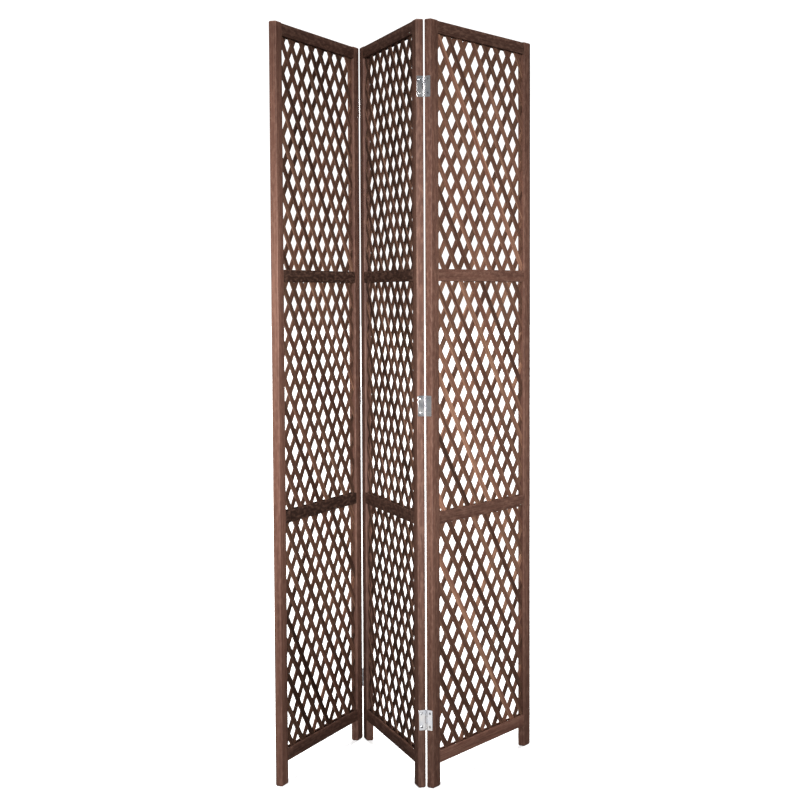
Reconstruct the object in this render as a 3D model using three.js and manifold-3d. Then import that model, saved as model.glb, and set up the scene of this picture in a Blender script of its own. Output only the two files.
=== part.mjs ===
// A free-standing folding lattice screen of three hinged wooden panels.
//
// Millimetres, +Z up. The screen stands in a zigzag on its six stile feet, and the origin is on the
// floor under the middle of its outline. Each panel has two stiles, four rails and three lattice
// sections; three steel butt hinges join it to the next panel.

import * as THREE from 'three';
import { mergeVertices } from 'three/addons/utils/BufferGeometryUtils.js';
import Module from 'manifold-3d';

const wasm = await Module();
wasm.setup();

// ---- Driving dimensions ------------------------------------------------------------------------

const SCREEN_HEIGHT = 1750;
const PANEL_WIDTH = 450;
const FRAME_THICKNESS = 18;
const STILE_WIDTH = 30;
const RAIL_HEIGHT = 28;
const LEG_HEIGHT = 54; // clear height under the bottom rail
const STILE_RISE = 2; // stile tops stand this far above the top rail
const SECTIONS = 3; // lattice sections one above the other in a panel
const FIT_GAP = 0.3; // clearance between pieces that meet face to face

const ARRIS = 0.8; // chamfer along the edges of the stiles
const FOOT_CHAMFER = 4;
const TOP_CHAMFER = 3;

const SLAT_WIDTH = 15;
const SLAT_THICKNESS = 2.7;
const COLUMN_PITCH = 50.7; // from one diamond to the next, across
const ROW_PITCH = 68.9; // from one diamond to the next, up
const LAYER_GAP = 0.3; // between the front and the rear layer of slats
const CONTACT_RADIUS = 3.5; // of the three-cornered spot that holds two crossing slats together
const CONTACT_SIDES = 3;
const CONTACT_BITE = 0.4; // how far that contact reaches into each slat

const GROOVE_DEPTH = 6;
const GROOVE_WIDTH = 6.6;
const LATTICE_REACH = 5; // how far the slats reach into the grooves

const HINGE_HEIGHT = 47;
const HINGE_MIDDLES = [159, 882, 1600]; // heights of the hinges' middles
const LEAF_WIDTH = 16.5; // from the pin's axis to the leaf's free edge
const LEAF_THICKNESS = 1;
const KNUCKLE_RADIUS = 1.8;
const KNUCKLE_SIDES = 6;
const BORE_RADIUS = 1.05;
const PIN_RADIUS = 0.7;
const KNUCKLES = 3;
const KNUCKLE_GAP = 0.3;
const PIN_STANDOFF = 0.2; // from the face of the frame out to the pin's axis

const MIDDLE_HEADING = -72.4; // degrees from +X to the middle panel's run, left to right
const LEFT_FOLD = 40.6; // degrees between the left and the middle panel
const RIGHT_FOLD = 51.6; // degrees between the middle and the right panel

// The lattices were fitted by hand: each one sits a little high or low in its opening.
const LATTICE_SHIFT = {
  left: [4.5, 2.5, 7],
  middle: [-6, -5.5, -4],
  right: [4.5, -2, 1.5],
};

const WOOD_COLOURS = { left: 0x5d4038, middle: 0x563a32, right: 0x664639 };

// ---- Worked-out dimensions ---------------------------------------------------------------------

const OPENING_WIDTH = PANEL_WIDTH - 2 * STILE_WIDTH;
const RAILS_TOTAL = (SECTIONS + 1) * RAIL_HEIGHT;
const OPENING_HEIGHT = (SCREEN_HEIGHT - LEG_HEIGHT - STILE_RISE - RAILS_TOTAL) / SECTIONS;
const HINGE_OFFSET = KNUCKLE_RADIUS + FIT_GAP; // from a stile's edge face to the pin's axis
const PIN_DEPTH = FRAME_THICKNESS / 2 + PIN_STANDOFF; // from the panel's middle plane to the axis

// ---- Helpers -----------------------------------------------------------------------------------

const radians = THREE.MathUtils.degToRad;

function wood(side) {
  return new THREE.MeshStandardMaterial({ color: WOOD_COLOURS[side], roughness: 0.55, metalness: 0 });
}

function steel() {
  return new THREE.MeshStandardMaterial({ color: 0xb9bbbd, roughness: 0.3, metalness: 1 });
}

function toSolid(geometry) {
  const bare = geometry.clone();
  bare.deleteAttribute('normal');
  bare.deleteAttribute('uv');
  const merged = mergeVertices(bare, 1e-4);
  return new wasm.Manifold(new wasm.Mesh({
    numProp: 3,
    vertProperties: new Float32Array(merged.attributes.position.array),
    triVerts: new Uint32Array(merged.index.array),
  }));
}

function toGeometry(solid) {
  const mesh = solid.getMesh();
  const geometry = new THREE.BufferGeometry();
  geometry.setAttribute('position', new THREE.BufferAttribute(mesh.vertProperties, 3));
  geometry.setIndex(new THREE.BufferAttribute(mesh.triVerts, 1));
  geometry.computeVertexNormals();
  return geometry;
}

function box(minCorner, maxCorner) {
  const size = new THREE.Vector3().subVectors(maxCorner, minCorner);
  const middle = new THREE.Vector3().addVectors(minCorner, maxCorner).multiplyScalar(0.5);
  return new THREE.BoxGeometry(size.x, size.y, size.z).translate(middle.x, middle.y, middle.z);
}

// A rectangle with cut corners, as a ring of eight points, shrunk all round by an inset.
function chamferedRing(width, depth, chamfer, inset) {
  const x = width / 2 - inset;
  const y = depth / 2 - inset;
  const c = chamfer;
  return [
    [x - c, -y], [x, -y + c], [x, y - c], [x - c, y],
    [-x + c, y], [-x, y - c], [-x, -y + c], [-x + c, -y],
  ].map(([px, py]) => new THREE.Vector2(px, py));
}

// A closed body through rings of points, each ring at its own height along +Z.
function loft(rings) {
  const count = rings[0].points.length;
  const positions = rings.flatMap(({ z, points }) => points.flatMap((p) => [p.x, p.y, z]));
  const triangles = [];
  for (let ring = 0; ring < rings.length - 1; ring += 1) {
    for (let i = 0; i < count; i += 1) {
      const a = ring * count + i;
      const b = ring * count + ((i + 1) % count);
      triangles.push(a, b, b + count, a, b + count, a + count);
    }
  }
  const last = (rings.length - 1) * count;
  for (let i = 1; i < count - 1; i += 1) {
    triangles.push(0, i + 1, i, last, last + i, last + i + 1);
  }
  const geometry = new THREE.BufferGeometry();
  geometry.setAttribute('position', new THREE.Float32BufferAttribute(positions, 3));
  geometry.setIndex(triangles);
  return geometry;
}

// An upright cylinder between two heights, on the axis through (x, y).
function upright(radius, sides, bottom, top, x, y) {
  return new THREE.CylinderGeometry(radius, radius, top - bottom, sides)
    .rotateX(Math.PI / 2)
    .translate(x, y, (bottom + top) / 2);
}

function named(name, geometry, material) {
  const mesh = new THREE.Mesh(geometry, material);
  mesh.name = name;
  return mesh;
}

// ---- Frame -------------------------------------------------------------------------------------

// Bottom of rail number i, counted from the floor up.
function railBottom(i) {
  return LEG_HEIGHT + i * (RAIL_HEIGHT + OPENING_HEIGHT);
}

// A stile runs the full height. Its groove faces the rails and stops short of the leg and the top.
function stileGeometry(middleX, grooveSide) {
  const ring = (z, inset) => ({
    z,
    points: chamferedRing(STILE_WIDTH, FRAME_THICKNESS, ARRIS, inset)
      .map((p) => new THREE.Vector2(p.x + middleX, p.y)),
  });
  const blank = toSolid(loft([
    ring(0, FOOT_CHAMFER),
    ring(FOOT_CHAMFER, 0),
    ring(SCREEN_HEIGHT - TOP_CHAMFER, 0),
    ring(SCREEN_HEIGHT, TOP_CHAMFER),
  ]));
  const face = middleX + grooveSide * STILE_WIDTH / 2;
  const ends = [face - grooveSide * GROOVE_DEPTH, face + grooveSide];
  const groove = toSolid(box(
    new THREE.Vector3(Math.min(...ends), -GROOVE_WIDTH / 2, railBottom(0) + RAIL_HEIGHT - GROOVE_DEPTH),
    new THREE.Vector3(Math.max(...ends), GROOVE_WIDTH / 2, railBottom(SECTIONS) + GROOVE_DEPTH),
  ));
  return toGeometry(blank.subtract(groove));
}

// A rail fills the space between the stiles, with a groove along each edge that meets a lattice.
function railGeometry(index) {
  const length = OPENING_WIDTH - 2 * FIT_GAP;
  const bottom = railBottom(index);
  const blank = toSolid(new THREE.BoxGeometry(length, FRAME_THICKNESS, RAIL_HEIGHT)
    .translate(PANEL_WIDTH / 2, 0, bottom + RAIL_HEIGHT / 2));
  const cut = (low, high) => toSolid(box(
    new THREE.Vector3(0, -GROOVE_WIDTH / 2, low),
    new THREE.Vector3(PANEL_WIDTH, GROOVE_WIDTH / 2, high),
  ));
  let rail = blank;
  if (index > 0) {
    rail = rail.subtract(cut(bottom - 1, bottom + GROOVE_DEPTH));
  }
  if (index < SECTIONS) {
    rail = rail.subtract(cut(bottom + RAIL_HEIGHT - GROOVE_DEPTH, bottom + RAIL_HEIGHT + 1));
  }
  return toGeometry(rail);
}

// ---- Lattice -----------------------------------------------------------------------------------

// The slats' middle lines. The layers lean equally off the vertical, one to each side, and line
// number k crosses the middle height at k column pitches from the middle.
function slatLines(halfWidth, halfHeight) {
  const lean = Math.atan2(COLUMN_PITCH, ROW_PITCH);
  const reach = halfWidth + halfHeight * Math.tan(lean);
  const count = Math.floor(reach / COLUMN_PITCH);
  const lines = [];
  for (const layer of [-1, 1]) {
    for (let k = -count; k <= count; k += 1) {
      lines.push({ layer, x: k * COLUMN_PITCH, lean: layer * lean });
    }
  }
  return lines;
}

// One slat, cut to the block that the grooves leave for it, or null where it misses the block.
function slatSolid(line, shift, block) {
  const length = 2 * (OPENING_WIDTH + OPENING_HEIGHT);
  const y = line.layer * (SLAT_THICKNESS + LAYER_GAP) / 2;
  const slat = toSolid(new THREE.BoxGeometry(SLAT_WIDTH, SLAT_THICKNESS, length)
    .rotateY(line.lean)
    .translate(line.x, y, shift));
  const cut = slat.intersect(block);
  return cut.isEmpty() ? null : cut;
}

// Two layers of slats, held together at crossings. A crossing is a contact only where it joins
// slats that no other contact joins yet, from the middle outwards, so that every slat is held once.
// A corner scrap that crosses no other slat is left out.
function latticeGeometry(shift) {
  const halfWidth = OPENING_WIDTH / 2 + LATTICE_REACH;
  const halfHeight = OPENING_HEIGHT / 2 + LATTICE_REACH;
  const block = toSolid(new THREE.BoxGeometry(2 * halfWidth, FRAME_THICKNESS, 2 * halfHeight));
  const slats = slatLines(halfWidth, halfHeight)
    .map((line) => ({ ...line, solid: slatSolid(line, shift, block) }))
    .filter((slat) => slat.solid);

  const crossings = [];
  for (const front of slats.filter((slat) => slat.layer < 0)) {
    for (const rear of slats.filter((slat) => slat.layer > 0)) {
      const z = (front.x - rear.x) / (2 * Math.tan(rear.lean));
      const x = (front.x + rear.x) / 2;
      const inside = Math.abs(x) < halfWidth - CONTACT_RADIUS
        && Math.abs(z + shift) < halfHeight - CONTACT_RADIUS;
      if (inside) {
        crossings.push({ front, rear, x, z });
      }
    }
  }
  crossings.sort((a, b) => Math.hypot(a.x, a.z) - Math.hypot(b.x, b.z));

  const group = new Map(slats.map((slat) => [slat, slat]));
  const leader = (slat) => (group.get(slat) === slat ? slat : leader(group.get(slat)));
  const contacts = [];
  for (const { front, rear, x, z } of crossings) {
    if (leader(front) !== leader(rear)) {
      group.set(leader(front), leader(rear));
      contacts.push(toSolid(new THREE.CylinderGeometry(
        CONTACT_RADIUS, CONTACT_RADIUS, LAYER_GAP + 2 * CONTACT_BITE, CONTACT_SIDES,
      ).translate(x, 0, z + shift)));
    }
  }

  const sizes = new Map();
  slats.forEach((slat) => sizes.set(leader(slat), (sizes.get(leader(slat)) ?? 0) + 1));
  const main = [...sizes.entries()].sort((a, b) => b[1] - a[1])[0][0];
  const kept = slats.filter((slat) => leader(slat) === main).map((slat) => slat.solid);
  return toGeometry([...kept, ...contacts].reduce((sum, solid) => sum.add(solid)));
}

// ---- Panels ------------------------------------------------------------------------------------

const RAIL_NAMES = ['bottom', 'lower', 'upper', 'top'];
const SECTION_NAMES = ['top', 'middle', 'bottom'];

// A panel in its own frame: X runs left to right, the front face looks along -Y, Z is up.
function makePanel(side) {
  const panel = new THREE.Group();
  const halfStile = STILE_WIDTH / 2;
  panel.add(
    named(`${side}_panel_left_stile`, stileGeometry(halfStile, 1), wood(side)),
    named(`${side}_panel_right_stile`, stileGeometry(PANEL_WIDTH - halfStile, -1), wood(side)),
  );
  RAIL_NAMES.forEach((name, index) => {
    panel.add(named(`${side}_panel_${name}_rail`, railGeometry(index), wood(side)));
  });
  SECTION_NAMES.forEach((name, index) => {
    const middle = railBottom(SECTIONS - 1 - index) + RAIL_HEIGHT + OPENING_HEIGHT / 2;
    const geometry = latticeGeometry(LATTICE_SHIFT[side][index])
      .translate(PANEL_WIDTH / 2, 0, middle);
    panel.add(named(`${side}_panel_${name}_lattice`, geometry, wood(side)));
  });
  return panel;
}

// ---- Hinges ------------------------------------------------------------------------------------

// A leaf on a stile's edge face, in the panel's frame. edge is +1 at the panel's right end and -1 at
// its left; pinSide is +1 with the pin behind the panel and -1 in front; own says which of the
// knuckles, counted from the bottom, belong to this leaf. The plate and its roll run the full
// height, and the room for the other leaf's knuckles is cut out of them.
function leafGeometry(edge, pinSide, bottom, own) {
  const edgeFace = edge > 0 ? PANEL_WIDTH : 0;
  const axis = { x: edgeFace + edge * HINGE_OFFSET, y: pinSide * PIN_DEPTH };
  const back = edgeFace + edge * FIT_GAP;
  const top = bottom + HINGE_HEIGHT;
  const barrel = (radius, low, high) => (
    toSolid(upright(radius, KNUCKLE_SIDES, low, high, axis.x, axis.y))
  );
  // A block between two planes off the stile's edge and two distances from the pin's axis.
  const block = (planes, distances, low, high) => {
    const ys = distances.map((distance) => axis.y - pinSide * distance);
    return toSolid(box(
      new THREE.Vector3(Math.min(...planes), Math.min(...ys), low),
      new THREE.Vector3(Math.max(...planes), Math.max(...ys), high),
    ));
  };
  let leaf = block([back, back + edge * LEAF_THICKNESS], [0, LEAF_WIDTH], bottom, top)
    .add(barrel(KNUCKLE_RADIUS, bottom, top))
    .subtract(barrel(BORE_RADIUS, bottom - 1, top + 1));
  const pitch = (HINGE_HEIGHT + KNUCKLE_GAP) / KNUCKLES;
  const clear = KNUCKLE_RADIUS + 2 * KNUCKLE_GAP;
  for (let index = 0; index < KNUCKLES; index += 1) {
    if (!own.includes(index)) {
      const low = bottom + index * pitch - KNUCKLE_GAP;
      const high = low + pitch + KNUCKLE_GAP;
      leaf = leaf.subtract(block([axis.x - clear, axis.x + clear], [-clear, clear], low, high));
    }
  }
  return toGeometry(leaf);
}

const HINGE_NAMES = ['lower', 'middle', 'upper'];

// The three hinges of one seam: the side panel carries the middle knuckle, the middle panel the two
// outer knuckles and the pin. seamEdge is the middle panel's edge at the seam.
function addHinges(seam, sideName, sidePanel, middlePanel, seamEdge, pinSide) {
  HINGE_NAMES.forEach((name, index) => {
    const bottom = HINGE_MIDDLES[index] - HINGE_HEIGHT / 2;
    const stem = `${seam}_${name}_hinge`;
    sidePanel.add(named(
      `${stem}_${sideName}_leaf`, leafGeometry(-seamEdge, pinSide, bottom, [1]), steel(),
    ));
    middlePanel.add(named(
      `${stem}_middle_leaf`, leafGeometry(seamEdge, pinSide, bottom, [0, 2]), steel(),
    ));
    const axisX = seamEdge > 0 ? PANEL_WIDTH + HINGE_OFFSET : -HINGE_OFFSET;
    middlePanel.add(named(`${stem}_pin`, upright(
      PIN_RADIUS, KNUCKLE_SIDES, bottom, bottom + HINGE_HEIGHT, axisX, pinSide * PIN_DEPTH,
    ), steel()));
  });
}

// ---- Assembly ----------------------------------------------------------------------------------

const FRONT = -1; // a pin in front of the panels
const REAR = 1; // a pin behind the panels

const headings = {
  left: MIDDLE_HEADING + 180 - LEFT_FOLD,
  middle: MIDDLE_HEADING,
  right: MIDDLE_HEADING + 180 - RIGHT_FOLD,
};

// Where a point of a panel's frame falls once the panel is turned to its heading.
function turned(x, y, heading) {
  return new THREE.Vector2(x, y).rotateAround(new THREE.Vector2(), radians(heading));
}

const leftEnd = -HINGE_OFFSET;
const rightEnd = PANEL_WIDTH + HINGE_OFFSET;
const leftSeam = turned(leftEnd, FRONT * PIN_DEPTH, headings.middle);
const rightSeam = turned(rightEnd, REAR * PIN_DEPTH, headings.middle);
const places = {
  left: leftSeam.clone().sub(turned(rightEnd, FRONT * PIN_DEPTH, headings.left)),
  middle: new THREE.Vector2(),
  right: rightSeam.clone().sub(turned(leftEnd, REAR * PIN_DEPTH, headings.right)),
};

const panels = {};
for (const side of ['left', 'middle', 'right']) {
  panels[side] = makePanel(side);
  panels[side].rotation.z = radians(headings[side]);
  panels[side].position.set(places[side].x, places[side].y, 0);
}
addHinges('left_seam', 'left', panels.left, panels.middle, -1, FRONT);
addHinges('right_seam', 'right', panels.right, panels.middle, 1, REAR);

const screen = new THREE.Group();
screen.add(panels.left, panels.middle, panels.right);

// Move the screen so that the middle of its outline is over the origin.
const outline = new THREE.Box3().setFromObject(screen, true);
screen.position.x = -(outline.min.x + outline.max.x) / 2;
screen.position.y = -(outline.min.y + outline.max.y) / 2;

export default screen;
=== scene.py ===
"""Looks of the folding lattice screen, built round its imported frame. Metres, +Z up."""

import math
import random

import bmesh
import bpy
from mathutils import Euler, Matrix, Vector, noise


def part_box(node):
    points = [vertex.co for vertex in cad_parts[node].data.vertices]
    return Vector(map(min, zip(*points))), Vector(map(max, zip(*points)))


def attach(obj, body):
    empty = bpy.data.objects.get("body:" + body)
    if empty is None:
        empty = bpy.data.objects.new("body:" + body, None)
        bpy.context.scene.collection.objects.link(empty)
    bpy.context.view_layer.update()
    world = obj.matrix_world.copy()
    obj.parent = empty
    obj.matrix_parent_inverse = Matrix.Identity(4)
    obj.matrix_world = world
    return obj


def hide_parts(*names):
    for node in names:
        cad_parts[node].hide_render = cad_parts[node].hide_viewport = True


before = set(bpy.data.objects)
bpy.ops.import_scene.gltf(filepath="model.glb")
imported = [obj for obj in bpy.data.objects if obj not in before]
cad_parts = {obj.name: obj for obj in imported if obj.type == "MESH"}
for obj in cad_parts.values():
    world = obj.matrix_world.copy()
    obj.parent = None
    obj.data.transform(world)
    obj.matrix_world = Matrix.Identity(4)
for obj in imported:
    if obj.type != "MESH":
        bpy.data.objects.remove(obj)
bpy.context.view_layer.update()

# ---- Sizes, in metres ---------------------------------------------------------------------------

STILE_WIDTH = 0.030
FRAME_THICKNESS = 0.018
ARRIS_RADIUS = 0.00120
FOOT_RADIUS = 0.0048
TOP_RADIUS = 0.0034
RING_STEP = 0.028  # spacing of the rings along a board
WAVER = 0.00030  # how far a planed face may lie below flat

RING_WIDTH = 0.0032  # of the wood's growth rings

GROOVE_DEPTH = 0.006
GROOVE_WIDTH = 0.0066
CUT_MARGIN = 0.01  # how far a cutting block passes the face it opens
RAIL_GAP = 0.00005  # left at each end of a rail

EDGE_HIGHLIGHT_REACH = 0.003  # how far the painted edge highlight reaches in from an arris
END_HIGHLIGHT_REACH = 0.006
SLAT_HIGHLIGHT_REACH = 0.002

SLAT_WIDTH = 0.0150
SLAT_THICKNESS = 0.0028
COLUMN_PITCH = 0.0507
ROW_PITCH = 0.0689
SLAT_EASE = 0.00035  # taken off a slat's thin edges
SLAT_RING_STEP = 0.02
SLAT_WIDTH_SPREAD = 0.0007
SLAT_DRIFT = 0.0011  # how far a slat bows sideways
SLAT_RAGGEDNESS = 0.00035  # how far its edges waver
COLUMN_SPREAD = 0.0016  # how far a slat is off its place
TILT_SPREAD = math.radians(0.28)
SHORTEST_SLAT = 0.002
LATTICE_REACH = 0.0048  # how far the slats run into the grooves
LATTICE_SHIFT = {
    "left": (0.0045, 0.0025, 0.0070),
    "middle": (-0.0060, -0.0055, -0.0040),
    "right": (0.0045, -0.0020, 0.0015),
}

HINGE_HEIGHT = 0.047
HINGE_OFFSET = 0.0021  # from a stile's edge face to the pin's axis
PIN_STANDOFF = 0.0002  # from the face of the frame out to the pin's axis
LEAF_WIDTH = 0.0165
PLATE_BACK = -0.0018
PLATE_FRONT = -0.0008
KNUCKLE_RADIUS = 0.0018
KNUCKLE_INNER = 0.0009
KNUCKLE_GAP = 0.0003
KNUCKLES = 3
KNUCKLE_PITCH = (HINGE_HEIGHT + KNUCKLE_GAP) / KNUCKLES
PIN_RADIUS = 0.0008
SCREW_RADIUS = 0.0027
SCREW_SPREAD = 0.0155  # from the hinge's middle to each screw
SCREW_REACH = 0.0098  # from the pin's axis to the screws

# How light each board is, against the stain's own colour: partly stain that each board took differently,
# partly painted shade that darkens the boards of the left and middle panels where they face each other in
# the fold, and painted light that lifts the bottom rails where the lamp falls off. Rails are bottom to
# top.
STILE_STAIN_AND_SHADE_TONES = {"left": (1.10, 0.78), "middle": (0.72, 0.80), "right": (0.80, 0.86)}
RAIL_STAIN_AND_SHADE_TONES = {
    "left": (0.60, 0.13, 0.20, 0.49),
    "middle": (0.60, 0.35, 0.23, 0.47),
    "right": (1.30, 0.71, 0.91, 0.54),
}
SLAT_STAIN_AND_SHADE_TONES = {"left": 0.80, "middle": 0.52, "right": 1.12}
SLAT_TONE_SPREAD = 0.32

SIDES = ("left", "middle", "right")
RAILS = ("bottom", "lower", "upper", "top")
SECTIONS = ("top", "middle", "bottom")
HINGES = ("lower", "middle", "upper")
# Each seam's outer panel, the edge of the middle panel it is on, and the face its pins are on.
SEAMS = (("left_seam", "left", -1, -1), ("right_seam", "right", 1, 1))


# ---- Mesh helpers -------------------------------------------------------------------------------

def new_object(name, mesh):
    piece = bpy.data.objects.new(name, mesh)
    bpy.context.scene.collection.objects.link(piece)
    return piece


def mesh_from(name, points, faces):
    mesh = bpy.data.meshes.new(name)
    mesh.from_pydata(points, [], faces)
    mesh.update()
    return mesh


def fix_normals(mesh):
    """Point every face outwards, whatever the handedness of the frame it was built in."""
    work = bmesh.new()
    work.from_mesh(mesh)
    bmesh.ops.recalc_face_normals(work, faces=work.faces)
    work.to_mesh(mesh)
    work.free()


def evaluated(piece):
    """The mesh of a piece with its modifiers applied."""
    graph = bpy.context.evaluated_depsgraph_get()
    return bpy.data.meshes.new_from_object(piece.evaluated_get(graph))


def shade_smooth(mesh, angle=math.radians(32)):
    mesh.shade_smooth()
    mesh.set_sharp_from_angle(angle=angle)


def box_object(low, high):
    """A plain cutting block, used only to take a groove out of a board."""
    work = bmesh.new()
    bmesh.ops.create_cube(work, size=1.0)
    mesh = bpy.data.meshes.new("cutter")
    work.to_mesh(mesh)
    work.free()
    size = Vector(high) - Vector(low)
    middle = (Vector(high) + Vector(low)) / 2
    mesh.transform(Matrix.Translation(middle) @ Matrix.Diagonal((*size, 1.0)))
    return new_object("cutter", mesh)


def cut_away(piece, cutters):
    """The mesh of a piece with the cutters taken out of it. The objects used are removed."""
    for cutter in cutters:
        cut = piece.modifiers.new("cut", "BOOLEAN")
        cut.operation = "DIFFERENCE"
        cut.solver = "EXACT"
        cut.object = cutter
    result = evaluated(piece)
    for used in [piece, *cutters]:
        bpy.data.objects.remove(used)
    return result


def subtract(mesh, blocks):
    """The mesh with each (low, high) block cut away."""
    return cut_away(new_object("blank", mesh), [box_object(low, high) for low, high in blocks])


def lathe(profile, segments):
    """Points and faces of a closed body turned round Z from (radius, height) points, tip to tip."""
    points = [(0.0, 0.0, profile[0][1])]
    for radius, height in profile[1:-1]:
        for i in range(segments):
            turn = 2 * math.pi * i / segments
            points.append((radius * math.cos(turn), radius * math.sin(turn), height))
    points.append((0.0, 0.0, profile[-1][1]))
    faces = []
    rings = len(profile) - 2
    last = len(points) - 1
    for i in range(segments):
        j = (i + 1) % segments
        faces.append((0, 1 + j, 1 + i))
        for ring in range(rings - 1):
            a = 1 + ring * segments
            faces.append((a + i, a + j, a + segments + j, a + segments + i))
        a = 1 + (rings - 1) * segments
        faces.append((last, a + i, a + j))
    return points, faces


def log_offset(rng):
    """Where a board was sawn from its log: along the trunk, and off the pith in two directions."""
    return Vector((rng.uniform(0, 9), rng.uniform(0.015, 0.07), rng.uniform(0.01, 0.05)))


def add_attributes(mesh, boards, tones, edge_highlights):
    """Grain coordinates, tone (stain with painted shade) and painted edge highlight, one of each for every
    point.
    """
    # All are made before any is filled, because making one moves the others in memory.
    for name, kind in (("board", "FLOAT_VECTOR"), ("tone", "FLOAT"), ("edge_highlight", "FLOAT")):
        mesh.attributes.new(name, kind, "POINT")
    for name, field, values in (
        ("board", "vector", boards), ("tone", "value", tones), ("edge_highlight", "value", edge_highlights),
    ):
        data = mesh.attributes[name].data
        for i, value in enumerate(values):
            setattr(data[i], field, value)


# ---- Panels -------------------------------------------------------------------------------------

def centre(node):
    low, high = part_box(node)
    return (low + high) / 2


class Panel:
    """A panel's frame: X runs left to right, the front face looks along -Y, Z is up."""

    def __init__(self, side):
        self.side = side
        self.body = f"{side}_panel"
        left = centre(f"{side}_panel_left_stile")
        right = centre(f"{side}_panel_right_stile")
        run = (right - left).to_2d().normalized()
        self.width = (right - left).to_2d().length + STILE_WIDTH
        self.opening = self.width - 2 * STILE_WIDTH
        self.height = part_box(f"{side}_panel_left_stile")[1].z
        origin = left.to_2d() - run * STILE_WIDTH / 2
        self.matrix = Matrix((
            (run.x, -run.y, 0, origin.x),
            (run.y, run.x, 0, origin.y),
            (0, 0, 1, 0),
            (0, 0, 0, 1),
        ))
        boxes = [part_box(f"{side}_panel_{name}_rail") for name in RAILS]
        self.rails = [(low.z, high.z) for low, high in boxes]


# ---- Boards -------------------------------------------------------------------------------------

def rounded_ring(width, thickness, radius, inset, steps=4):
    """Corner points of a rounded rectangle, drawn in by an inset, as (across, through) pairs."""
    half_w = width / 2 - inset
    half_t = thickness / 2 - inset
    corner = max(radius - inset * 0.35, 0.0004)
    ring = []
    for quadrant, (sx, sy) in enumerate(((1, 1), (-1, 1), (-1, -1), (1, -1))):
        for step in range(steps + 1):
            turn = math.pi / 2 * (quadrant + step / steps)
            ring.append((
                sx * (half_w - corner) + corner * math.cos(turn),
                sy * (half_t - corner) + corner * math.sin(turn),
            ))
    return ring


def end_rings(radius, steps=4):
    """(distance from the end, inset) pairs that round an end over."""
    if radius == 0:
        return [(0.0, 0.0)]
    pairs = []
    for step in range(steps + 1):
        turn = math.pi / 2 * step / steps
        pairs.append((radius * (1 - math.cos(turn)), radius * (1 - math.sin(turn))))
    return pairs


def board_mesh(length, width, thickness, start_radius, end_radius, seed):
    """A planed board along X, from 0 to its length, with softened arrises and ends."""
    stations = list(end_rings(start_radius))
    count = max(2, round(length / RING_STEP))
    first = stations[-1][0] + RING_STEP / 2
    last = length - end_radius - RING_STEP / 2
    stations += [(first + (last - first) * i / count, 0.0) for i in range(count + 1)]
    stations += [(length - at, inset) for at, inset in reversed(end_rings(end_radius))]
    points = []
    for at, inset in stations:
        for across, through in rounded_ring(width, thickness, ARRIS_RADIUS, inset):
            hollow = abs(noise.noise(Vector((at * 9 + seed, across * 60, through * 60))))
            scale = 1 - WAVER * hollow / (width / 2)
            points.append((at, across * scale, through * scale))
    size = len(rounded_ring(width, thickness, ARRIS_RADIUS, 0))
    faces = [tuple(reversed(range(size)))]
    for ring in range(len(stations) - 1):
        for i in range(size):
            j = (i + 1) % size
            a = ring * size
            faces.append((a + i, a + j, a + size + j, a + size + i))
    faces.append(tuple(range((len(stations) - 1) * size, len(stations) * size)))
    return mesh_from("board", points, faces)


def board_edge_highlight(length, width, thickness, highlights_ends):
    """Strength of the painted highlight: how near a point is to an arris or an end, from 0 on the flats to
    1 on the edge.
    """
    def edge_highlight(co):
        side = max(0.0, 1 - (width / 2 - abs(co.y)) / EDGE_HIGHLIGHT_REACH)
        face = max(0.0, 1 - (thickness / 2 - abs(co.z)) / EDGE_HIGHLIGHT_REACH)
        edge = side * face
        if highlights_ends:
            tip = max(0.0, 1 - min(co.x, length - co.x) / END_HIGHLIGHT_REACH)
            edge = max(edge, tip * max(side, face))
        return min(1.0, edge * 1.6)
    return edge_highlight


def finish_board(name, mesh, place, panel, material, seed, tone, edge_highlight):
    offset = log_offset(random.Random(seed))
    places = [vertex.co.copy() for vertex in mesh.vertices]
    boards = [at + offset for at in places]
    add_attributes(mesh, boards, [tone] * len(places), [edge_highlight(at) for at in places])
    mesh.transform(panel.matrix @ place)
    fix_normals(mesh)
    shade_smooth(mesh)
    mesh.materials.clear()
    mesh.materials.append(material)
    piece = new_object(f"wood_{name}", mesh)
    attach(piece, panel.body)
    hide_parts(name)


def make_stile(panel, which, material, seed):
    """A stile, foot to top, with its stopped groove on the side that faces the rails."""
    at_left = which == "left"
    middle = STILE_WIDTH / 2 if at_left else panel.width - STILE_WIDTH / 2
    # Board X stands up, board Y runs across the panel, board Z looks to the front.
    place = Matrix.Translation((middle, 0, 0)) @ Matrix((
        (0, 1, 0, 0), (0, 0, -1, 0), (1, 0, 0, 0), (0, 0, 0, 1),
    ))
    mesh = board_mesh(panel.height, STILE_WIDTH, FRAME_THICKNESS, FOOT_RADIUS, TOP_RADIUS, seed)
    inner = STILE_WIDTH / 2
    across = (inner - GROOVE_DEPTH, inner + CUT_MARGIN)
    if not at_left:
        across = (-inner - CUT_MARGIN, -inner + GROOVE_DEPTH)
    low = (panel.rails[0][1] - GROOVE_DEPTH, across[0], -GROOVE_WIDTH / 2)
    high = (panel.rails[-1][0] + GROOVE_DEPTH, across[1], GROOVE_WIDTH / 2)
    mesh = subtract(mesh, [(low, high)])
    tone = STILE_STAIN_AND_SHADE_TONES[panel.side][0 if at_left else 1]
    edge_highlight = board_edge_highlight(panel.height, STILE_WIDTH, FRAME_THICKNESS, True)
    name = f"{panel.side}_panel_{which}_stile"
    finish_board(name, mesh, place, panel, material, seed, tone, edge_highlight)


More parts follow.
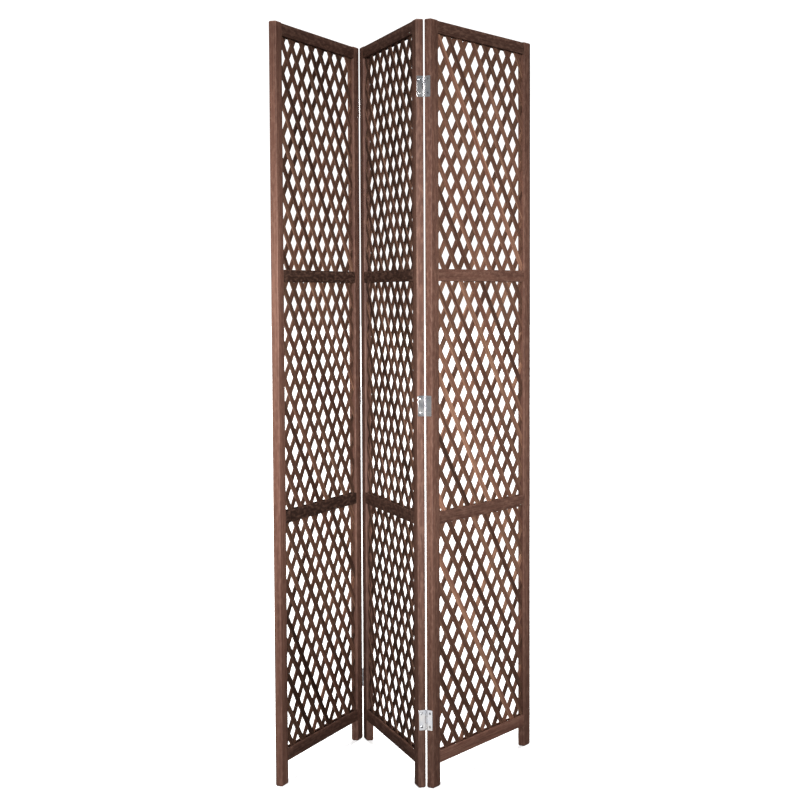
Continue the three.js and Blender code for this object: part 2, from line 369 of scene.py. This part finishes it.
def make_rail(panel, index, material, seed):
    """A rail between the stiles, grooved along each edge that meets a lattice."""
    low_z, high_z = panel.rails[index]
    height = high_z - low_z
    length = panel.opening - 2 * RAIL_GAP
    # Board X runs across the panel, board Y stands up, board Z looks to the front.
    place = Matrix.Translation((STILE_WIDTH + RAIL_GAP, 0, (low_z + high_z) / 2)) @ Matrix((
        (1, 0, 0, 0), (0, 0, -1, 0), (0, 1, 0, 0), (0, 0, 0, 1),
    ))
    mesh = board_mesh(length, height, FRAME_THICKNESS, 0, 0, seed)
    cuts = []
    if index > 0:
        cuts.append((-height / 2 - CUT_MARGIN, -height / 2 + GROOVE_DEPTH))
    if index < len(RAILS) - 1:
        cuts.append((height / 2 - GROOVE_DEPTH, height / 2 + CUT_MARGIN))
    mesh = subtract(mesh, [
        ((-CUT_MARGIN, low, -GROOVE_WIDTH / 2), (length + CUT_MARGIN, high, GROOVE_WIDTH / 2))
        for low, high in cuts
    ])
    tone = RAIL_STAIN_AND_SHADE_TONES[panel.side][index]
    edge_highlight = board_edge_highlight(length, height, FRAME_THICKNESS, False)
    name = f"{panel.side}_panel_{RAILS[index]}_rail"
    finish_board(name, mesh, place, panel, material, seed, tone, edge_highlight)


# ---- Lattice ------------------------------------------------------------------------------------

def clip(start, direction, half_width, half_height):
    """The stretch of a line inside the rectangle round the origin, as two distances, or None."""
    low, high = -math.inf, math.inf
    for at, step, limit in ((start.x, direction.x, half_width), (start.y, direction.y, half_height)):
        near, far = sorted(((-limit - at) / step, (limit - at) / step))
        low, high = max(low, near), min(high, far)
    return (low, high) if high > low else None


def slat_section(width):
    """(across, through) points round a slat, its thin edges eased."""
    ease = SLAT_EASE
    half_w, half_t = width / 2, SLAT_THICKNESS / 2
    return [
        (half_w, -half_t + ease), (half_w, half_t - ease), (half_w - ease, half_t),
        (0.0, half_t), (-half_w + ease, half_t), (-half_w, half_t - ease),
        (-half_w, -half_t + ease), (-half_w + ease, -half_t), (0.0, -half_t),
        (half_w - ease, -half_t),
    ]


def add_slat(rng, centre_x, lean, through, half_width, half_height, shift, store):
    """One slat through (centre_x, shift), cut along the edges of the opening and its grooves."""
    direction = Vector((math.sin(lean), math.cos(lean)))
    side = Vector((direction.y, -direction.x))
    start = Vector((centre_x, shift))
    section = slat_section(SLAT_WIDTH + rng.uniform(-SLAT_WIDTH_SPREAD, SLAT_WIDTH_SPREAD))
    spans = []
    for across, _ in section:
        span = clip(start + side * across, direction, half_width, half_height)
        if span is None or span[1] - span[0] < SHORTEST_SLAT:
            return
        spans.append(span)
    longest = max(high - low for low, high in spans)
    rings = max(2, round(longest / SLAT_RING_STEP))
    bend_seed = rng.uniform(0, 100)
    base = len(store["points"])
    tone = store["tone_middle"] * math.exp(rng.gauss(0, SLAT_TONE_SPREAD))
    offset = log_offset(rng)
    for ring in range(rings + 1):
        part = ring / rings
        for (across, depth), (low, high) in zip(section, spans):
            along = low + (high - low) * part
            drift = SLAT_DRIFT * noise.noise(Vector((along * 7, bend_seed, 0)))
            ragged = noise.noise(Vector((along * 45, bend_seed + 9, 40 * across)))
            edge = SLAT_RAGGEDNESS * ragged
            flat = start + direction * along + side * (across + drift + edge)
            flat.x = max(-half_width, min(half_width, flat.x))
            flat.y = max(-half_height, min(half_height, flat.y))
            store["points"].append((flat.x, through + depth, flat.y))
            store["board"].append(Vector((along, across, depth)) + offset)
            store["tone"].append(tone)
            # Painted highlight strength along the slat's long edges.
            store["edge_highlight"].append(max(0.0, 1 - (SLAT_WIDTH / 2 - abs(across)) / SLAT_HIGHLIGHT_REACH))
    size = len(section)
    store["faces"].append(tuple(reversed(range(base, base + size))))
    for ring in range(rings):
        a = base + ring * size
        for i in range(size):
            j = (i + 1) % size
            store["faces"].append((a + i, a + j, a + size + j, a + size + i))
    store["faces"].append(tuple(range(base + rings * size, base + (rings + 1) * size)))


def make_lattice(panel, index, material, seed):
    """Two crossed layers of thin slats, laid by eye, in the opening between two rails."""
    below = panel.rails[len(SECTIONS) - 1 - index][1]
    above = panel.rails[len(SECTIONS) - index][0]
    half_width = panel.opening / 2 + LATTICE_REACH
    half_height = (above - below) / 2 + LATTICE_REACH
    lean = math.atan2(COLUMN_PITCH, ROW_PITCH)
    count = math.floor((half_width + half_height * math.tan(lean)) / COLUMN_PITCH)
    shift = LATTICE_SHIFT[panel.side][index]
    rng = random.Random(seed)
    store = {"points": [], "faces": [], "board": [], "tone": [], "edge_highlight": []}
    store["tone_middle"] = SLAT_STAIN_AND_SHADE_TONES[panel.side]
    for layer in (-1, 1):
        for k in range(-count, count + 1):
            x = k * COLUMN_PITCH + rng.gauss(0, COLUMN_SPREAD)
            tilt = layer * lean + rng.gauss(0, TILT_SPREAD)
            through = layer * SLAT_THICKNESS / 2
            add_slat(rng, x, tilt, through, half_width, half_height, shift, store)
    mesh = mesh_from("lattice", store["points"], store["faces"])
    add_attributes(mesh, store["board"], store["tone"], store["edge_highlight"])
    middle = Vector((panel.width / 2, 0, (above + below) / 2))
    mesh.transform(panel.matrix @ Matrix.Translation(middle))
    fix_normals(mesh)
    shade_smooth(mesh)
    mesh.materials.append(material)
    node = f"{panel.side}_panel_{SECTIONS[index]}_lattice"
    piece = new_object(f"slats_{node}", mesh)
    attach(piece, panel.body)
    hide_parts(node)


# ---- Hinges -------------------------------------------------------------------------------------

def leaf_outline(own):
    """Outline of a leaf's plate as (from the pin, up) points, with a tongue at each own knuckle."""
    half = HINGE_HEIGHT / 2
    clear = KNUCKLE_RADIUS + 2 * KNUCKLE_GAP
    corner = 0.0008
    outline = [
        (LEAF_WIDTH - corner, -half), (LEAF_WIDTH, -half + corner),
        (LEAF_WIDTH, half - corner), (LEAF_WIDTH - corner, half),
    ]
    for index in reversed(range(KNUCKLES)):
        low = -half + index * KNUCKLE_PITCH
        high = low + KNUCKLE_PITCH - KNUCKLE_GAP
        reach = 0.0 if index in own else clear
        top = half if index == KNUCKLES - 1 else high
        bottom = -half if index == 0 else low
        if index not in own:
            top = top if index == KNUCKLES - 1 else high + KNUCKLE_GAP
            bottom = bottom if index == 0 else low - KNUCKLE_GAP
        outline += [(reach, top), (reach, bottom)]
    return outline


def plate_mesh(own):
    """The flat of a leaf, with two round holes for its screws, its edges slightly eased."""
    ease = 0.00018
    curve = bpy.data.curves.new("plate", "CURVE")
    curve.dimensions = "2D"
    curve.fill_mode = "BOTH"
    curve.extrude = (PLATE_FRONT - PLATE_BACK) / 2 - ease
    curve.bevel_depth = ease
    curve.bevel_resolution = 1
    curve.offset = -ease
    loops = [leaf_outline(own)]
    for up in (-SCREW_SPREAD, SCREW_SPREAD):
        hole = SCREW_RADIUS + 0.0001
        loops.append([
            (SCREW_REACH + hole * math.cos(t), up + hole * math.sin(t))
            for t in (2 * math.pi * i / 28 for i in range(28))
        ])
    for loop in loops:
        spline = curve.splines.new("POLY")
        spline.points.add(len(loop) - 1)
        for point, (x, y) in zip(spline.points, loop):
            point.co = (x, y, 0, 1)
        spline.use_cyclic_u = True
    piece = new_object("plate", curve)
    mesh = evaluated(piece)
    bpy.data.objects.remove(piece)
    mesh.transform(Matrix.Translation((0, 0, (PLATE_FRONT + PLATE_BACK) / 2)))
    # Curve X runs from the pin, curve Y up, curve Z off the wood: turn to (off, from pin, up).
    mesh.transform(Matrix(((0, 0, 1, 0), (1, 0, 0, 0), (0, 1, 0, 0), (0, 0, 0, 1))))
    return mesh


def roll_mesh(low, high):
    """One rolled knuckle, from the plate round the pin and back almost to the plate."""
    steps = 30
    ease = 0.0002
    sweep = math.radians(297)
    section = []
    for radius, order in ((KNUCKLE_RADIUS, range(steps + 1)), (KNUCKLE_INNER, reversed(range(steps + 1)))):
        for step in order:
            turn = math.pi + sweep * step / steps
            section.append((radius, turn))
    middle = (KNUCKLE_RADIUS + KNUCKLE_INNER) / 2
    points = []
    for up, inset in ((low, ease), (low + ease, 0), (high - ease, 0), (high, ease)):
        for radius, turn in section:
            r = radius - inset if radius > middle else radius + inset
            points.append((r * math.cos(turn), r * math.sin(turn), up))
    size = len(section)
    faces = []
    for ring in range(3):
        for i in range(size):
            j = (i + 1) % size
            a = ring * size
            faces.append((a + i, a + j, a + size + j, a + size + i))
    for ring in (0, 3):
        for i in range(steps):
            a = ring * size
            faces.append((a + i, a + i + 1, a + size - 2 - i, a + size - 1 - i))
    return mesh_from("roll", points, faces)


def join_meshes(name, meshes):
    work = bmesh.new()
    for mesh in meshes:
        work.from_mesh(mesh)
    joined = bpy.data.meshes.new(name)
    work.to_mesh(joined)
    work.free()
    return joined


def cross_recess(depth):
    """Points and faces of the pointed cross that is driven into a screw's head."""
    arm, half = 0.00155, 0.00036
    outline = [
        (arm, -half), (arm, half), (half, half), (half, arm), (-half, arm), (-half, half),
        (-arm, half), (-arm, -half), (-half, -half), (-half, -arm), (half, -arm), (half, -half),
    ]
    points = [(x * 1.15, y * 1.15, 0.002) for x, y in outline]
    points += [(x * 0.55, y * 0.55, -depth) for x, y in outline]
    size = len(outline)
    faces = [tuple(range(size)), tuple(reversed(range(size, 2 * size)))]
    for i in range(size):
        j = (i + 1) % size
        faces.append((i, i + size, j + size, j))
    return points, faces


def screw_mesh():
    """An oval-headed cross-slot screw whose rim lies at height 0 and whose shank points down."""
    rise = 0.00055
    profile = [(0, rise)]
    for step in range(1, 8):
        part = step / 8
        profile.append((SCREW_RADIUS * part, rise * (1 - part * part)))
    profile += [(SCREW_RADIUS, 0.0), (SCREW_RADIUS, -0.0002), (0.0013, -0.00135), (0.0012, -0.006)]
    profile.append((0, -0.0075))
    head = mesh_from("screw", *lathe(list(reversed(profile)), 36))
    fix_normals(head)
    recess = mesh_from("recess", *cross_recess(0.0007))
    fix_normals(recess)
    return cut_away(new_object("screw_blank", head), [new_object("screw_cutter", recess)])


def pin_mesh():
    half = HINGE_HEIGHT / 2
    dome = 0.0004
    profile = [(0, -half), (PIN_RADIUS * 0.7, -half + 0.0001), (PIN_RADIUS, -half + dome)]
    profile += [(PIN_RADIUS, half - dome), (PIN_RADIUS * 0.7, half - 0.0001), (0, half)]
    mesh = mesh_from("pin", *lathe(profile, 28))
    fix_normals(mesh)
    return mesh


def finish_metal(name, mesh, matrix, body, material, node=None):
    mesh.transform(matrix)
    fix_normals(mesh)
    shade_smooth(mesh)
    mesh.materials.clear()
    mesh.materials.append(material)
    piece = new_object(name, mesh)
    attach(piece, body)
    if node:
        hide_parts(node)
    hinge_pieces.objects.link(piece)


def hinge_frame(panel, edge, pin_side, height):
    """Frame at the pin's axis: X off the stile, Y from the pin over the leaf, Z up."""
    x = (panel.width if edge > 0 else 0) + edge * HINGE_OFFSET
    y = pin_side * (FRAME_THICKNESS / 2 + PIN_STANDOFF)
    return panel.matrix @ Matrix((
        (edge, 0, 0, x), (0, -pin_side, 0, y), (0, 0, 1, height), (0, 0, 0, 1),
    ))


def make_leaf(panel, node, edge, pin_side, height, own, material, screw, rng):
    matrix = hinge_frame(panel, edge, pin_side, height)
    rolls = []
    for index in own:
        low = -HINGE_HEIGHT / 2 + index * KNUCKLE_PITCH
        rolls.append(roll_mesh(low, low + KNUCKLE_PITCH - KNUCKLE_GAP))
    mesh = join_meshes("leaf", [plate_mesh(own), *rolls])
    finish_metal(f"steel_{node}", mesh, matrix, panel.body, material, node)
    for spot, up in (("bottom", -SCREW_SPREAD), ("top", SCREW_SPREAD)):
        # Screw Z looks off the plate, along the hinge frame's X.
        turn = Matrix.Rotation(rng.uniform(0, math.pi), 4, "Z")
        stand = Matrix(((0, 0, 1, PLATE_FRONT), (1, 0, 0, SCREW_REACH), (0, 1, 0, up), (0, 0, 0, 1)))
        name = f"screw_{spot}_{node}"
        finish_metal(name, screw.copy(), matrix @ stand @ turn, panel.body, material)


def make_hinges(panels, steel):
    screw = screw_mesh()
    rng = random.Random(31)
    middle = panels["middle"]
    for seam, side, seam_edge, pin_side in SEAMS:
        for name in HINGES:
            stem = f"{seam}_{name}_hinge"
            low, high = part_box(f"{stem}_pin")
            height = (low.z + high.z) / 2
            make_leaf(
                panels[side], f"{stem}_{side}_leaf", -seam_edge, pin_side, height, (1,), steel, screw, rng,
            )
            make_leaf(
                middle, f"{stem}_middle_leaf", seam_edge, pin_side, height, (0, 2), steel, screw, rng,
            )
            matrix = hinge_frame(middle, seam_edge, pin_side, height)
            finish_metal(f"steel_{stem}_pin", pin_mesh(), matrix, middle.body, steel, f"{stem}_pin")


# ---- Materials ----------------------------------------------------------------------------------

class Nodes:
    """A short way to add and link shader nodes."""

    def __init__(self, name):
        self.material = bpy.data.materials.new(name)
        self.material.use_nodes = True
        self.tree = self.material.node_tree
        self.shader = self.tree.nodes["Principled BSDF"]

    def add(self, kind, inputs=None, **settings):
        node = self.tree.nodes.new(kind)
        for key, value in settings.items():
            setattr(node, key, value)
        for key, value in (inputs or {}).items():
            self.plug(node.inputs[key], value)
        return node

    def plug(self, socket, value):
        if isinstance(value, bpy.types.NodeSocket):
            self.tree.links.new(value, socket)
        else:
            socket.default_value = value

    def attribute(self, name):
        return self.add("ShaderNodeAttribute", attribute_name=name)

    def stretched(self, vector, scale):
        node = self.add("ShaderNodeMapping", {"Vector": vector, "Scale": scale})
        return node.outputs["Vector"]

    def noise(self, vector, scale, detail=3.0, rough=0.55, distortion=0.0):
        node = self.add("ShaderNodeTexNoise", {
            "Vector": vector, "Scale": scale, "Detail": detail,
            "Roughness": rough, "Distortion": distortion,
        })
        return node.outputs["Fac"]

    def remap(self, value, low, high, to_low=0.0, to_high=1.0):
        node = self.add("ShaderNodeMapRange", {
            "Value": value, "From Min": low, "From Max": high, "To Min": to_low, "To Max": to_high,
        })
        return node.outputs["Result"]

    def math(self, operation, a, b=0.0):
        node = self.add("ShaderNodeMath", operation=operation)
        self.plug(node.inputs[0], a)
        self.plug(node.inputs[1], b)
        return node.outputs[0]

    def mix(self, factor, a, b, blend="MIX"):
        node = self.add("ShaderNodeMix", data_type="RGBA", blend_type=blend)
        self.plug(node.inputs["Factor"], factor)
        self.plug(node.inputs["A"], a)
        self.plug(node.inputs["B"], b)
        return node.outputs["Result"]


def stained_wood(name, dark, mid, light, highlight_colour, ring_depth, streak_depth):
    """Stained softwood: growth rings round a pith, fibre streaks, pores, cloudy stain, a per-board tone
    that carries painted shade, and a painted highlight along the arrises.
    """
    n = Nodes(name)
    board = n.attribute("board").outputs["Vector"]
    tone = n.attribute("tone").outputs["Fac"]
    edge_highlight = n.attribute("edge_highlight").outputs["Fac"]

    # Growth rings: distance from the pith, wandering slowly along the board.
    pith = n.add("ShaderNodeVectorMath", operation="LENGTH")
    n.plug(pith.inputs[0], n.stretched(board, (0.0, 1.0, 1.0)))
    wander = n.noise(n.stretched(board, (1.6, 14.0, 14.0)), 1.0, detail=2.0)
    distance = n.math("ADD", pith.outputs["Value"], n.math("MULTIPLY", wander, 0.022))
    ring = n.math("FRACT", n.math("MULTIPLY", distance, 1 / RING_WIDTH))
    latewood = n.math("MULTIPLY", n.remap(ring, 0.35, 0.90), n.remap(ring, 0.92, 1.0, 1.0, 0.0))

    fibres = n.noise(n.stretched(board, (5.0, 420.0, 420.0)), 1.0, detail=4.0, rough=0.65)
    streaks = n.noise(n.stretched(board, (2.2, 85.0, 85.0)), 1.0, detail=3.0, distortion=0.4)
    pores = n.noise(n.stretched(board, (70.0, 1500.0, 1500.0)), 1.0, detail=2.0, rough=0.7)
    clouds = n.noise(n.stretched(board, (5.0, 20.0, 20.0)), 1.0, detail=3.0)

    body = n.mix(n.remap(streaks, 0.40, 0.63), mid, light)
    body = n.mix(n.math("MULTIPLY", n.remap(fibres, 0.42, 0.66), streak_depth), body, dark)
    body = n.mix(n.math("MULTIPLY", latewood, ring_depth), body, dark)
    body = n.mix(n.remap(clouds, 0.42, 0.68, 0.0, 0.45), body, dark)
    body = n.mix(n.remap(pores, 0.60, 0.74, 0.0, 0.6), body, dark)
    mottle = n.noise(n.stretched(board, (14.0, 130.0, 130.0)), 1.0, detail=3.0, rough=0.6)
    # The per-board tone scales the colour: stain differences plus painted shade in the fold and painted
    # light on the bottom rails.
    shade = n.math("MULTIPLY", tone, n.remap(mottle, 0.32, 0.68, 0.84, 1.16))
    toned = n.add("ShaderNodeVectorMath", {"Scale": shade}, operation="SCALE")
    n.plug(toned.inputs[0], body)
    # Painted highlight: a lighter colour laid along the arrises and slat edges, broken up by noise.
    highlight_break = n.noise(n.stretched(board, (60.0, 160.0, 160.0)), 1.0, detail=3.0)
    highlight_amount = n.math("MULTIPLY", edge_highlight, n.remap(highlight_break, 0.46, 0.66, 0.05, 0.38))
    n.plug(n.shader.inputs["Base Color"], n.mix(highlight_amount, toned.outputs["Vector"], highlight_colour))

    gloss = n.math("ADD", n.math("MULTIPLY", fibres, 0.5), n.math("MULTIPLY", clouds, 0.5))
    n.plug(n.shader.inputs["Roughness"], n.remap(gloss, 0.35, 0.65, 0.42, 0.60))
    n.shader.inputs["Specular IOR Level"].default_value = 0.22

    # Saw marks slant across the grain and come and go along the board.
    marks_space = n.stretched(board, (1.0, 0.35, 0.35))
    marks = n.add("ShaderNodeTexWave", {
        "Vector": marks_space, "Scale": 62.0, "Distortion": 1.5, "Detail": 1.0, "Detail Scale": 0.4,
    }, bands_direction="DIAGONAL")
    sawn = n.noise(n.stretched(board, (2.5, 9.0, 9.0)), 1.0, detail=1.0)
    marks = n.math("MULTIPLY", marks.outputs["Fac"], n.remap(sawn, 0.48, 0.70, 0.0, 0.30))

    relief = n.math("ADD", n.math("MULTIPLY", latewood, 0.35), n.math("MULTIPLY", fibres, 0.8))
    relief = n.math("SUBTRACT", relief, n.math("MULTIPLY", n.remap(pores, 0.56, 0.74), 0.5))
    relief = n.math("ADD", relief, marks)
    bump = n.add("ShaderNodeBump", {"Strength": 0.45, "Distance": 0.0003, "Height": relief})
    n.plug(n.shader.inputs["Normal"], bump.outputs["Normal"])
    return n.material


def zinc_plate(name):
    """Bright plated steel: faint rolled brushing, cloudy plating and small dull spots."""
    n = Nodes(name)
    place = n.add("ShaderNodeTexCoord").outputs["Object"]
    patches = n.noise(place, 55.0, detail=2.0)
    spots = n.noise(place, 520.0, detail=2.0)
    brushing = n.noise(n.stretched(place, (2600.0, 2600.0, 90.0)), 1.0, detail=2.0)
    colour = n.mix(n.remap(patches, 0.35, 0.7), (0.46, 0.47, 0.50, 1), (0.60, 0.59, 0.58, 1))
    colour = n.mix(n.remap(spots, 0.62, 0.72, 0.0, 0.35), colour, (0.30, 0.28, 0.27, 1))
    n.plug(n.shader.inputs["Base Color"], colour)
    n.shader.inputs["Metallic"].default_value = 1.0
    n.plug(n.shader.inputs["Roughness"], n.remap(patches, 0.3, 0.7, 0.26, 0.36))
    bump = n.add("ShaderNodeBump", {"Strength": 0.10, "Distance": 0.0001, "Height": brushing})
    n.plug(n.shader.inputs["Normal"], bump.outputs["Normal"])
    return n.material


def studio_floor():
    n = Nodes("studio_floor")
    place = n.add("ShaderNodeTexCoord").outputs["Object"]
    tone = n.remap(n.noise(place, 0.6), 0.3, 0.7)
    pale = n.mix(tone, (0.90, 0.90, 0.90, 1), (0.92, 0.92, 0.92, 1))
    n.plug(n.shader.inputs["Base Color"], pale)
    n.plug(n.shader.inputs["Emission Color"], pale)
    n.shader.inputs["Emission Strength"].default_value = 0.80
    n.shader.inputs["Roughness"].default_value = 0.9
    n.shader.inputs["Specular IOR Level"].default_value = 0.0
    return n.material


# ---- Studio -------------------------------------------------------------------------------------

CAMERA_PLACE = (-0.0164, -3.893, 1.1295)
CAMERA_PITCH = math.radians(3.633)
CAMERA_ROLL = math.radians(-0.264)
CAMERA_LENS = 73.16
SENSOR_WIDTH = 36.0


def make_camera():
    data = bpy.data.cameras.new("camera")
    data.sensor_width = SENSOR_WIDTH
    data.lens = CAMERA_LENS
    data.clip_start = 0.05
    data.clip_end = 200
    camera = bpy.data.objects.new("camera", data)
    bpy.context.scene.collection.objects.link(camera)
    look = Euler((math.pi / 2 - CAMERA_PITCH, 0, 0)).to_matrix().to_4x4()
    roll = Matrix.Rotation(CAMERA_ROLL, 4, "Z")
    camera.matrix_world = Matrix.Translation(CAMERA_PLACE) @ look @ roll
    bpy.context.scene.camera = camera


def add_light(name, kind, place, target, power):
    data = bpy.data.lights.new(name, kind)
    data.energy = power
    light = bpy.data.objects.new(name, data)
    bpy.context.scene.collection.objects.link(light)
    light.location = place
    aim = Vector(target) - Vector(place)
    light.rotation_euler = aim.to_track_quat("-Z", "Y").to_euler()
    light.visible_camera = False
    return light


def hinge_card(name, place, target, width, height, power):
    """A white card that only the hinges reflect."""
    card = add_light(name, "AREA", place, target, power)
    card.data.shape = "RECTANGLE"
    card.data.size = width
    card.data.size_y = height
    card.light_linking.receiver_collection = hinge_pieces


def make_floor():
    size = 60.0
    corners = [(-size, -size, 0), (size, -size, 0), (size, size, 0), (-size, size, 0)]
    mesh = mesh_from("floor", corners, [(0, 1, 2, 3)])
    floor = new_object("floor", mesh)
    mesh.materials.append(studio_floor())
    floor.visible_diffuse = False
    floor.visible_glossy = False


def make_world():
    """White to the camera and dimmer as a light, so that the folds stay dark."""
    world = bpy.data.worlds.new("studio")
    bpy.context.scene.world = world
    world.use_nodes = True
    tree = world.node_tree
    background = tree.nodes["Background"]
    path = tree.nodes.new("ShaderNodeLightPath")
    strength = tree.nodes.new("ShaderNodeMapRange")
    strength.inputs["To Min"].default_value = 0.05
    strength.inputs["To Max"].default_value = 1.2
    tree.links.new(path.outputs["Is Camera Ray"], strength.inputs["Value"])
    tree.links.new(strength.outputs["Result"], background.inputs["Strength"])
    background.inputs["Color"].default_value = (1, 1, 1, 1)


def make_studio():
    make_camera()
    make_floor()
    make_world()
    key = add_light("key", "SPOT", (0, -3.85, 1.15), (0, 0, 1.00), 600)
    key.data.spot_size = math.radians(27)
    key.data.spot_blend = 1.0
    key.data.shadow_soft_size = 0.12
    fill = add_light("fill", "SUN", (0, -3.85, 1.30), (0, 0, 1.0), 2.1)
    fill.data.angle = math.radians(6)
    for side in (-1, 1):
        wing = add_light("wing", "SUN", (side * 4, -1.2, 1.6), (0, 0, 0.9), 0.5)
        wing.data.angle = math.radians(20)
        wing.visible_glossy = False
    rear = add_light("rear", "SUN", (0.3, 3.85, 1.8), (0, 0, 0.9), 3.2)
    rear.data.angle = math.radians(12)
    rear.visible_glossy = False
    overhead = add_light("overhead", "SUN", (0, -0.02, 6), (0, 0, 0), 3.7)
    overhead.data.angle = math.radians(3)
    hinge_card("low_right_card", (0.75, -1.25, 0.03), (0.3, -0.3, 0.5), 1.3, 0.9, 5.2)
    hinge_card("low_left_card", (-0.55, -0.50, 0.02), (-0.4, -0.5, 1.0), 0.9, 0.6, 2.8)
    hinge_card("left_card", (-1.6, -0.9, 0.9), (0, 0, 0.9), 1.0, 2.2, 3.2)
    hinge_card("right_card", (1.3, -1.9, 1.2), (0, 0, 1.0), 1.0, 2.0, 1.0)
    hinge_card("rear_card", (0, 2.6, 1.0), (0, 0, 0.9), 3.0, 2.0, 8.0)
    view = bpy.context.scene.view_settings
    view.view_transform = "Standard"
    view.look = "None"


# ---- Assembly -----------------------------------------------------------------------------------

hinge_pieces = bpy.data.collections.new("hinge_pieces")
make_studio()

frame_wood = stained_wood(
    "frame_wood", dark=(0.072, 0.029, 0.021, 1), mid=(0.172, 0.079, 0.056, 1),
    light=(0.245, 0.124, 0.088, 1), highlight_colour=(0.32, 0.18, 0.13, 1), ring_depth=0.42, streak_depth=0.68,
)
lattice_wood = stained_wood(
    "lattice_wood", dark=(0.060, 0.024, 0.016, 1), mid=(0.150, 0.069, 0.046, 1),
    light=(0.278, 0.152, 0.096, 1), highlight_colour=(0.30, 0.17, 0.12, 1), ring_depth=0.45, streak_depth=0.75,
)
steel = zinc_plate("hinge_steel")

panels = {side: Panel(side) for side in SIDES}
for number, panel in enumerate(panels.values()):
    seed = 100 * (number + 1)
    for i, which in enumerate(("left", "right")):
        make_stile(panel, which, frame_wood, seed + i)
    for i in range(len(RAILS)):
        make_rail(panel, i, frame_wood, seed + 10 + i)
    for i in range(len(SECTIONS)):
        make_lattice(panel, i, lattice_wood, seed + 20 + i)
make_hinges(panels, steel)

bpy.context.view_layer.update()
